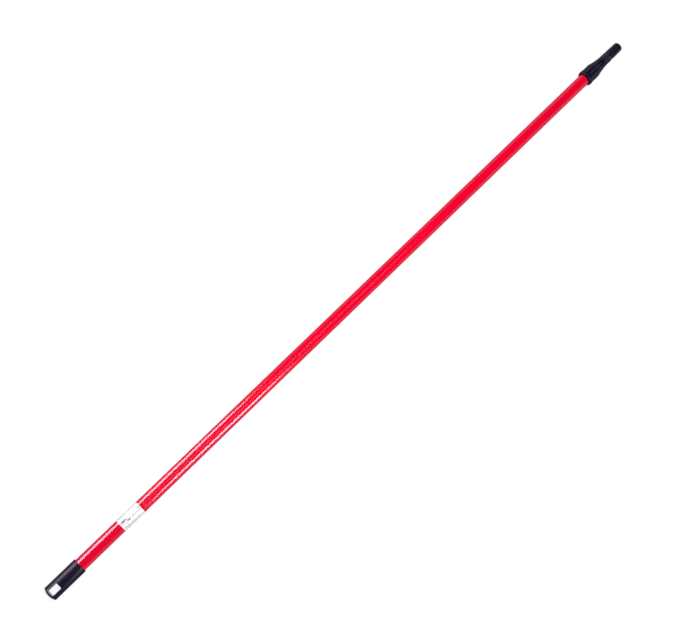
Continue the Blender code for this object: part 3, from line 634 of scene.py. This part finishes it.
class POLE_OT_twist_nut(bpy.types.Operator):
    """Model the ribbed twist nut"""

    bl_idname = "pole.twist_nut"
    bl_label = "Twist Nut"

    def execute(self, context):
        sizes = context.scene.pole_sizes
        mouth, nose, lip = reach("twist_nut")
        body = mouth + sizes.lip_length
        cone = mouth + sizes.cone_start
        crest = lip - sizes.lip_step
        rib_height = sizes.rib_height
        wall = 0.6 * MM  # what is left between the ribs' roots and the bore at the mouth
        bore = crest - rib_height - wall
        thread_start = body + 10 * MM
        thread_bore = bore - 1.0 * MM
        sleeve_end = reach("threaded_sleeve")[1]
        taper_start, taper_end = sleeve_end + 1 * MM, sleeve_end + 8 * MM
        tube_bore = reach("inner_tube")[2] + 0.4 * MM
        nose_radius = tube_bore + sizes.nose_wall
        hollow = 1.4  # over 1, so that the cone is a little hollow along its length
        run_out = 1.0 * MM  # the ribs rise over this length behind the lip and end this far from the nose
        fading = cone + 0.6 * (nose - cone)

        def crest_at(x):
            share = min(max((x - cone) / (nose - cone), 0.0), 1.0)
            return nose_radius + (crest - nose_radius) * (1 - share) ** hollow

        def fade(x):
            """How much of the ribs' height is left: none on the lip, all on the body, none at the nose."""
            start = smooth_step(x, body, body + run_out)
            return start * (1 - smooth_step(x, fading, nose - run_out))

        # The lip's mouth side is rounded by a corner between its two ends.
        lip_round, lip_blend, lip_slope = 0.9 * MM, 2.0 * MM, 0.4 * MM
        outline = filleted(
            [
                (mouth, bore, SMALL_EDGE),
                (mouth, lip - sizes.mouth_drop, SMALL_EDGE),
                (mouth + 0.28 * sizes.mouth_ease, lip - 0.3 * sizes.mouth_drop, lip_round),
                (mouth + sizes.mouth_ease, lip, lip_blend),
                (body - lip_slope, lip, sizes.lip_corner),
                (body, crest - rib_height),
            ]
        )
        rings = 44
        for i in range(1, rings):
            x = body + (nose - body) * i / rings
            outline.append(Vector((x, crest_at(x) - rib_height * fade(x))))
        nose_edge = 0.2 * MM
        outline += filleted(
            [
                (nose - nose_edge, crest_at(nose)),
                (nose, tube_bore + 0.3 * MM, nose_edge),
                (nose - 0.5 * MM, tube_bore),
                (taper_end, tube_bore),
                (taper_start, thread_bore),
                (thread_start, thread_bore),
                (thread_start, bore),
            ]
        )
        steps_in_rib = 28
        shape = turned(outline, steps=sizes.rib_count * steps_in_rib)
        # The crest attribute marks the ribs' crests, which the material paints paler as a painted
        # highlight.
        wear_and_crest_highlight = shape.verts.layers.float.new("crest")
        near = 0.05 * MM  # tells the outside's points from the bore's
        for vertex in shape.verts:
            x = vertex.co.x
            angle, radius = polar(vertex.co)
            surface = crest_at(x) - rib_height * fade(x)
            if x > body and abs(radius - surface) < near:
                rib = rib_profile(angle, sizes.rib_count)
                set_radius(vertex, radius + rib_height * fade(x) * rib)
                vertex[wear_and_crest_highlight] = rib * min(1.0, 2 * fade(x))
        plastic = black_plastic_material("moulded_black_nylon", roughness=0.40, rubbed=0.4, painted_crest_highlight=1.0)
        piece("ribbed_twist_nut", shape, plastic, "nut", "black_plastic", "twist_nut", sharp=50)
        return {"FINISHED"}


class POLE_OT_tip_adaptor(bpy.types.Operator):
    """Model the threaded tip that takes the roller"""

    bl_idname = "pole.tip_adaptor"
    bl_label = "Tip Adaptor"

    def execute(self, context):
        sizes = context.scene.pole_sizes
        foot, end, flange = reach("tip_adaptor")
        tube_end, tube_radius = reach("inner_tube")[1:]
        nose = reach("twist_nut")[1]
        shank_gap, shank_wall, shank_edge = 0.2 * MM, 2.4 * MM, 0.5 * MM
        shank = tube_radius - sizes.tube_wall - shank_gap
        core = shank - shank_wall
        base_step, seat_gap = 0.12 * MM, 0.3 * MM
        base = tube_radius + base_step
        seat = tube_end + seat_gap
        flange_edge = 0.4 * MM
        flange_start = nose + sizes.flange_gap
        thread_start = flange_start + sizes.flange_length
        thread_end = thread_start + sizes.thread_length
        pilot_start = thread_end + sizes.neck_length
        root, depth = sizes.thread_root, sizes.thread_crest - sizes.thread_root
        land = 0.6 * MM  # from a stretch's start to the rings of points that carry its thread or ribs

        def pilot_at(x):
            share = (x - pilot_start) / (end - pilot_start)
            return sizes.pilot_radius + share * (sizes.pilot_end_radius - sizes.pilot_radius)

        def thread_share(x, angle):
            """The thread's height as a share of its full height: fluted, and fading at both ends."""
            turns = (x - thread_start) / sizes.thread_pitch - angle / FULL_TURN
            off = abs(turns - math.floor(turns) - 0.5) * 2
            ridge = 1 - smooth_step(off, 0.22, 0.62)
            fade = smooth_step(x, thread_start + land, thread_start + 2.0 * MM)
            fade *= 1 - smooth_step(x, thread_end - 1.5 * MM, thread_end + 0.5 * MM)
            flute = rib_profile(angle, sizes.pilot_rib_count, phase=0.0, width=0.16, softness=0.1)
            return ridge * fade * (1 - 0.35 * flute)

        def rib_share(x, angle):
            """The lead-in ribs' height as a share of their full height, fading at both ends."""
            fade = smooth_step(x, pilot_start + 0.5 * MM, pilot_start + 2.0 * MM)
            fade *= 1 - smooth_step(x, end - 4.0 * MM, end - 1.5 * MM)
            return rib_profile(angle, sizes.pilot_rib_count, width=0.34, softness=0.2) * fade

        outline = filleted(
            [
                (foot, core),
                (foot, shank, shank_edge),
                (seat, shank),
                (seat, base),
                (flange_start, base),
                (flange_start, flange, flange_edge),
                (thread_start, flange, flange_edge),
                (thread_start + 0.2 * MM, root, 0.2 * MM),
            ]
        )
        thread_rings, pilot_rings = 84, 30
        for i in range(1, thread_rings):
            x = thread_start + land + (thread_end - thread_start) * i / thread_rings
            outline.append(Vector((x, root)))
        outline += filleted(
            [
                (thread_end + 1.0 * MM, root),
                (pilot_start - 0.4 * MM, root, 0.6 * MM),
                (pilot_start, pilot_at(pilot_start), SMALL_EDGE),
                (pilot_start + land, pilot_at(pilot_start)),
            ]
        )
        for i in range(1, pilot_rings):
            x = pilot_start + land + (end - 2 * MM - pilot_start) * i / pilot_rings
            outline.append(Vector((x, pilot_at(x))))
        end_round, end_wall = 0.9 * MM, 3 * MM
        outline += filleted(
            [
                (end - 1.2 * MM, pilot_at(end)),
                (end - end_round, pilot_at(end), 0.6 * MM),
                (end, pilot_at(end) - end_round, 0.4 * MM),
                (end, 0.0),
                (end - end_wall, 0.0),
                (end - end_wall, core),
            ]
        )
        shape = turned(outline, steps=160)
        # The crest attribute marks the thread's and ribs' crests, which the material paints paler as a
        # painted highlight.
        wear_and_crest_highlight = shape.verts.layers.float.new("crest")
        near = 0.02 * MM  # tells the points on the thread's root and on the lead-in from the others
        for vertex in shape.verts:
            x = vertex.co.x
            angle, radius = polar(vertex.co)
            on_thread = thread_start + 0.5 * MM < x < thread_end + 0.9 * MM
            on_pilot = pilot_start + 0.5 * MM < x < end - 1.1 * MM
            if on_thread and abs(radius - root) < near:
                share = thread_share(x, angle)
                set_radius(vertex, root + depth * share)
                vertex[wear_and_crest_highlight] = 0.6 * share
            elif on_pilot and abs(radius - pilot_at(x)) < near:
                share = rib_share(x, angle)
                set_radius(vertex, radius + sizes.pilot_rib_height * share)
                vertex[wear_and_crest_highlight] = 0.7 * share
        plastic = black_plastic_material("moulded_black_tip", roughness=0.40, rubbed=0.4, painted_crest_highlight=1.0)
        piece("threaded_tip", shape, plastic, "inner", "black_plastic", "tip_adaptor", sharp=50)
        return {"FINISHED"}


class POLE_OT_inner_tube(bpy.types.Operator):
    """Model the plated inner tube"""

    bl_idname = "pole.inner_tube"
    bl_label = "Inner Tube"

    def execute(self, context):
        sizes = context.scene.pole_sizes
        start, end, radius = reach("inner_tube")
        outline = tube_outline(start, end, radius - sizes.tube_wall, radius, TUBE_EDGE)
        hole = sizes.pin_radius + 0.1 * MM
        drill = bmesh.new()
        for pin in ("foot_pin", "tip_pin"):
            low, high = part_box(pin)
            place = Matrix.Translation(((low.x + high.x) / 2, 0, AXIS_Z))
            bmesh.ops.create_cone(
                drill, cap_ends=True, segments=32, radius1=hole, radius2=hole, depth=3 * radius,
                matrix=place @ Matrix.Rotation(math.pi / 2, 4, "X"),
            )
        shape = difference(turned(outline, steps=128), drill)
        tint = context.scene.pole_finishes.zinc
        zinc = metal_material("zinc_plated_tube", tint, 0.38, along=4, across=700, metallic=0.6)
        piece("plated_inner_tube", shape, zinc, "inner", "zinc_steel", "inner_tube")
        return {"FINISHED"}


class POLE_OT_lock_and_foot(bpy.types.Operator):
    """Give the parts inside the pole their materials"""

    bl_idname = "pole.lock_and_foot"
    bl_label = "Lock and Foot"

    def execute(self, context):
        finishes = context.scene.pole_finishes
        nylon = moulded_material("natural_nylon", finishes.nylon, 0.45, subsurface=0.1)
        rubber = moulded_material("black_rubber", finishes.rubber, 0.7)
        steel = metal_material("drawn_steel_wire", finishes.steel, 0.35, along=900, across=900)
        plastic = black_plastic_material("moulded_black_lock_sleeve", roughness=0.42, rubbed=0.3)
        groups = {
            nylon: [
                "mouth_bush", "clamp_ring", "thrust_washer", "glide_ring_lower", "glide_ring_upper",
                "foot_plug",
            ],
            rubber: ["nose_wiper", "foot_bumper"],
            steel: ["foot_pin", "tip_pin", "sleeve_rivet_front", "sleeve_rivet_back"],
            plastic: ["threaded_sleeve"],
        }
        for finish, names in groups.items():
            for name in names:
                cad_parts[name].data.materials.clear()
                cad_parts[name].data.materials.append(finish)
        return {"FINISHED"}


# Stage


def stage_plane(name, size, centre, material):
    shape = bmesh.new()
    bmesh.ops.create_grid(
        shape, x_segments=1, y_segments=1, size=0.5,
        matrix=Matrix.Translation(centre) @ Matrix.Diagonal((*size, 1, 1)),
    )
    mesh = bpy.data.meshes.new(name)
    shape.to_mesh(mesh)
    shape.free()
    plane = bpy.data.objects.new(name, mesh)
    bpy.context.scene.collection.objects.link(plane)
    mesh.materials.append(material)
    return plane


def softbox(name, place, target, size, power, splay=0.0):
    """A rectangular softbox aimed at a point, its first side along X and then turned by splay."""
    light = bpy.data.lights.new(name, "AREA")
    light.shape = "RECTANGLE"
    light.size, light.size_y = size
    light.energy = power
    box = bpy.data.objects.new(name, light)
    bpy.context.scene.collection.objects.link(box)
    box.location = place
    back = (Vector(place) - Vector(target)).normalized()
    up = back.cross(Vector((1, 0, 0))).normalized()
    side = up.cross(back)
    facing = Matrix((side, up, back)).transposed()
    box.rotation_euler = (facing @ Matrix.Rotation(splay, 3, "Z")).to_euler()
    return box


class POLE_OT_studio(bpy.types.Operator):
    """Set the white floor, the softboxes and the camera"""

    bl_idname = "pole.studio"
    bl_label = "Studio"

    def execute(self, context):
        studio = context.scene.pole_studio
        context.scene.view_settings.view_transform = "Standard"
        self.surroundings(studio)
        self.lights(studio)
        self.camera()
        return {"FINISHED"}

    def surroundings(self, studio):
        """A glowing white floor, and round it what the pole mirrors: the lit floor right below, violet
        gloom to its sides, a pale wall about the horizon and the dark of the studio above.
        """
        white, tree, shader = new_material("white_floor", roughness=0.9)
        shader.inputs["Base Color"].default_value = (0.2, 0.2, 0.2, 1)
        shader.inputs["Emission Color"].default_value = (1, 1, 1, 1)
        shader.inputs["Emission Strength"].default_value = studio.floor_glow
        floor = stage_plane("floor", (80, 80), (0, 0, -0.5 * MM), white)
        floor.visible_glossy = False
        world = bpy.data.worlds.new("surroundings")
        bpy.context.scene.world = world
        world.use_nodes = True
        tree = world.node_tree
        where = node(tree, "TexCoord")
        split = node(tree, "SeparateXYZ", {"Vector": where.outputs["Generated"]})
        height = node(
            tree, "MapRange", {"Value": split.outputs["Z"], "From Min": -1.0, "From Max": 1.0}
        )
        bands = node(tree, "ValToRGB", {"Fac": height.outputs["Result"]})
        lit_floor, gloom, dark = (1.4, 1.3, 1.4), (0.34, 0.20, 0.42), (0.01, 0.01, 0.012)
        wall = (studio.horizon,) * 3
        stops = bands.color_ramp.elements
        stops[0].color = rgba(lit_floor)
        stops[1].color = rgba(dark)
        for place, shade in (
            (0.02, lit_floor),
            (0.05, gloom),
            (0.485, (0.3, 0.3, 0.3)),
            (0.495, wall),
            (0.56, wall),
            (0.66, (0.02, 0.02, 0.02)),
        ):
            stops.new(place).color = rgba(shade)
        tree.links.new(bands.outputs["Color"], tree.nodes["Background"].inputs["Color"])

    def lights(self, studio):
        """A strip on each side of the butt half for its bright lines, 1 m from the axis, and a softbox
        overhead that lights the whole pole.
        """
        faint_magenta = (1.0, 0.86, 1.0)
        for name, angle, start, end, width, splay, power in (
            ("left_strip", 63, -1.25, -0.25, 0.56, 16, studio.strip_power),
            ("right_strip", -56, -0.66, -0.11, 0.42, -16, studio.strip_power * studio.strip_balance),
        ):
            turn = math.radians(angle)
            middle = Vector(((start + end) / 2, 0, AXIS_Z))
            place = middle + Vector((0, math.sin(turn), math.cos(turn)))
            strip = softbox(name, place, middle, (end - start, width), power, math.radians(splay))
            strip.data.color = faint_magenta
            strip.visible_diffuse = False
        above, below = (0.0, 0, 1.9), (0.0, 0, AXIS_Z)
        fill = softbox("overhead", above, below, (1.9, 1.3), studio.fill_power)
        fill.visible_glossy = False

    def camera(self):
        """Close over the butt and looking along the pole from above, rolled so that the pole runs up the
        frame.
        """
        place = Vector((-0.6077, 0, 1.8984))
        aim = Vector((-0.0707, -0.0004, AXIS_Z))
        roll = math.radians(46.09)
        data = bpy.data.cameras.new("camera")
        data.lens = 53.64
        data.sensor_width = 36.0
        camera = bpy.data.objects.new("camera", data)
        bpy.context.scene.collection.objects.link(camera)
        level = (aim - place).to_track_quat("-Z", "Y").to_matrix()
        camera.rotation_euler = (level @ Matrix.Rotation(roll, 3, "Z")).to_euler()
        camera.location = place
        bpy.context.scene.camera = camera


class POLE_PT_panel(bpy.types.Panel):
    """Lists the steps that build the pole"""

    bl_label = "Extension Pole"
    bl_space_type = "VIEW_3D"
    bl_region_type = "UI"
    bl_category = "Pole"

    def draw(self, context):
        for step in STEPS:
            self.layout.operator(step.bl_idname)


STEPS = (
    POLE_OT_outer_tube,
    POLE_OT_label,
    POLE_OT_end_cap,
    POLE_OT_twist_nut,
    POLE_OT_tip_adaptor,
    POLE_OT_inner_tube,
    POLE_OT_lock_and_foot,
    POLE_OT_studio,
)
GROUPS = {"pole_sizes": PoleSizes, "pole_finishes": PoleFinishes, "pole_studio": PoleStudio}


def register():
    for group in GROUPS.values():
        bpy.utils.register_class(group)
    for name, group in GROUPS.items():
        setattr(bpy.types.Scene, name, PointerProperty(type=group))
    for step in (*STEPS, POLE_PT_panel):
        bpy.utils.register_class(step)


def unregister():
    for step in reversed((*STEPS, POLE_PT_panel)):
        bpy.utils.unregister_class(step)
    for name, group in GROUPS.items():
        delattr(bpy.types.Scene, name)
        bpy.utils.unregister_class(group)


def main():
    register()
    for step in STEPS:
        space, name = step.bl_idname.split(".")
        getattr(getattr(bpy.ops, space), name)()


if __name__ == "__main__":
    main()
